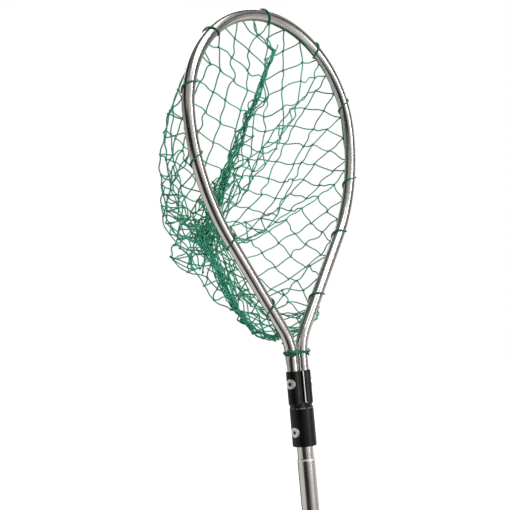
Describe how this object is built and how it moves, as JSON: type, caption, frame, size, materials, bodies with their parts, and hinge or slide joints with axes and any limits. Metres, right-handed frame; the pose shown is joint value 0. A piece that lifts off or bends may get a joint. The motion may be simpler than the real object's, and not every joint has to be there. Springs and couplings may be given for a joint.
{
  "type": "landing net",
  "caption": "Telescopic landing net: teardrop metal hoop in a moulded yoke, knotted mesh bag, and a twist-lock two-tube handle with a foam grip.",
  "frame": {"origin": "middle of the grip, on the handle's axis", "axes": "+Z along the handle from the grip to the hoop, X across the hoop, and the hoop's mouth faces -Y with the bag behind it on +Y"},
  "size_m": [0.2862, 0.1645, 1.0241],
  "materials": {
    "tube_aluminium": "polished drawn tube",
    "yoke_plastic": "black moulded, soft sheen",
    "rivet_aluminium": "bright",
    "mandrel_steel": "snapped end, dark",
    "lock_nylon": "natural",
    "lock_steel": "zinc plated",
    "grip_foam": "closed-cell foam",
    "cap_rubber": "matt",
    "head_cord": "twisted cord",
    "net_twine": "knotted twisted twine"
  },
  "bodies": {
    "handle": {"lower_handle_tube": "tube_aluminium", "grip": "grip_foam", "end_cap": "cap_rubber"},
    "lock": {"lock_ring": "lock_nylon"},
    "head": {"upper_handle_tube": "tube_aluminium", "lock_plug": "lock_nylon", "lock_washer": "lock_steel", "lock_screw": "lock_steel", "yoke": "yoke_plastic", "leg_rivets": "rivet_aluminium", "leg_rivet_mandrels": "mandrel_steel", "handle_rivets": "rivet_aluminium", "handle_rivet_mandrels": "mandrel_steel", "hoop_tube": "tube_aluminium", "head_line": "head_cord", "head_line_turns": "head_cord", "leg_lashings": "head_cord", "bag_left_panel": "net_twine", "bag_right_panel": "net_twine", "seam_cord": "net_twine", "seam_knot": "net_twine"}
  },
  "joints": [
    {"name": "handle_slide", "type": "slide", "parent": "handle", "child": "lock", "axis": [0, 0, 1], "range_m": [0, 0.37]},
    {"name": "lock_twist", "type": "hinge", "parent": "lock", "child": "head", "pos_m": [0, 0, 0], "axis": [0, 0, 1], "range_deg": [0, 90]}
  ]
}
